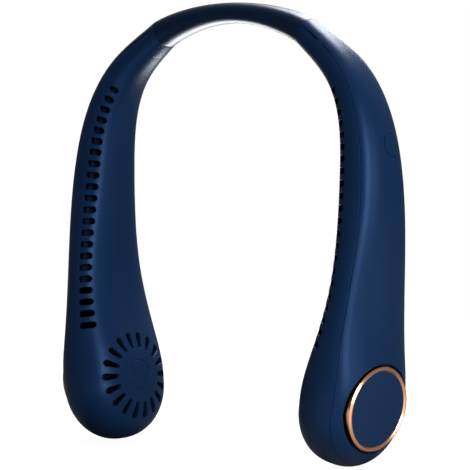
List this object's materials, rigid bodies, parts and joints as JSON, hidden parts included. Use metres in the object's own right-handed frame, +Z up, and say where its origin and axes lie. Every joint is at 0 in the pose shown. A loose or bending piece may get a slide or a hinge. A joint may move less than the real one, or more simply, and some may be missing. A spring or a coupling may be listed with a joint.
{
  "type": "neck fan",
  "caption": "Bladeless neck fan: a flexible band joins two hollow arms with slotted air outlets, each ending in a round blower with an intake grille and a trim ring.",
  "frame": {"origin": "inside of the flexible band at its crown, where it rests on the back of the neck", "axes": "+Z up towards the crown, +X towards the arm with the power button, the air slots face -Y"},
  "size_m": [0.189, 0.052, 0.2053],
  "materials": {
    "casing": "soft-touch satin navy",
    "silicone": "matte navy silicone",
    "trim": "polished rose gold",
    "screw_steel": "plain",
    "motor_alloy": "cast",
    "bronze": "sintered",
    "lamination": "stamped",
    "copper": "enamelled wire",
    "inner_plastic": "moulded black",
    "cell_wrap": "foil pouch",
    "lead_sleeve": "black sleeve",
    "fan_plastic": "moulded black",
    "can_steel": "zinc plated",
    "ferrite": "sintered",
    "board": "solder mask"
  },
  "bodies": {
    "band": {"neck_band": "silicone", "spring_strip": "can_steel", "band_cable": "lead_sleeve"},
    "left_arm": {"left_inner_shell": "casing", "left_outer_shell": "casing", "left_screw_cover": "casing", "left_clamp_screw": "screw_steel", "left_intake_cap": "casing", "left_trim_ring": "trim", "left_cap_screw": "screw_steel", "left_motor_base": "motor_alloy", "left_motor_bearings": "bronze", "left_stator_core": "lamination", "left_stator_coils": "copper", "left_motor_screws": "screw_steel", "left_duct_plate": "inner_plastic", "left_battery_cell": "cell_wrap", "left_motor_lead": "lead_sleeve"},
    "right_arm": {"right_inner_shell": "casing", "right_outer_shell": "casing", "right_screw_cover": "casing", "right_clamp_screw": "screw_steel", "right_intake_cap": "casing", "right_trim_ring": "trim", "right_cap_screw": "screw_steel", "right_motor_base": "motor_alloy", "right_motor_bearings": "bronze", "right_stator_core": "lamination", "right_stator_coils": "copper", "right_motor_screws": "screw_steel", "right_duct_plate": "inner_plastic", "right_battery_cell": "cell_wrap", "right_motor_lead": "lead_sleeve", "control_board": "board", "switch_body": "inner_plastic", "charge_socket": "can_steel", "charge_tongue": "inner_plastic"},
    "left_rotor": {"left_impeller": "fan_plastic", "left_rotor_can": "can_steel", "left_rotor_magnet": "ferrite", "left_motor_shaft": "can_steel"},
    "right_rotor": {"right_impeller": "fan_plastic", "right_rotor_can": "can_steel", "right_rotor_magnet": "ferrite", "right_motor_shaft": "can_steel"},
    "power_button": {"power_button": "casing", "switch_plunger": "inner_plastic"}
  },
  "joints": [
    {"name": "left_flex", "type": "hinge", "parent": "band", "child": "left_arm", "pos_m": [-0.02579, 0, 0.00187], "axis": [0, 1, 0], "range_deg": [-8, 20], "stiffness_Nm_per_rad": 1.5, "springref_deg": 1.72, "deforming": ["neck_band", "spring_strip", "band_cable"]},
    {"name": "right_flex", "type": "hinge", "parent": "band", "child": "right_arm", "pos_m": [0.02579, 0, 0.00187], "axis": [0, -1, 0], "range_deg": [-8, 20], "stiffness_Nm_per_rad": 1.5, "springref_deg": 1.72, "deforming": ["neck_band", "spring_strip", "band_cable"]},
    {"name": "left_fan_spin", "type": "hinge", "parent": "left_arm", "child": "left_rotor", "pos_m": [-0.07407, 0, -0.16696], "axis": [-0.9874, 0, -0.1582], "continuous": true},
    {"name": "right_fan_spin", "type": "hinge", "parent": "right_arm", "child": "right_rotor", "pos_m": [0.07407, 0, -0.16696], "axis": [0.9874, 0, -0.1582], "continuous": true},
    {"name": "button_press", "type": "slide", "parent": "right_arm", "child": "power_button", "axis": [-0.9922, 0, -0.1248], "range_m": [0, 0.0005], "stiffness_N_per_m": 2000}
  ]
}
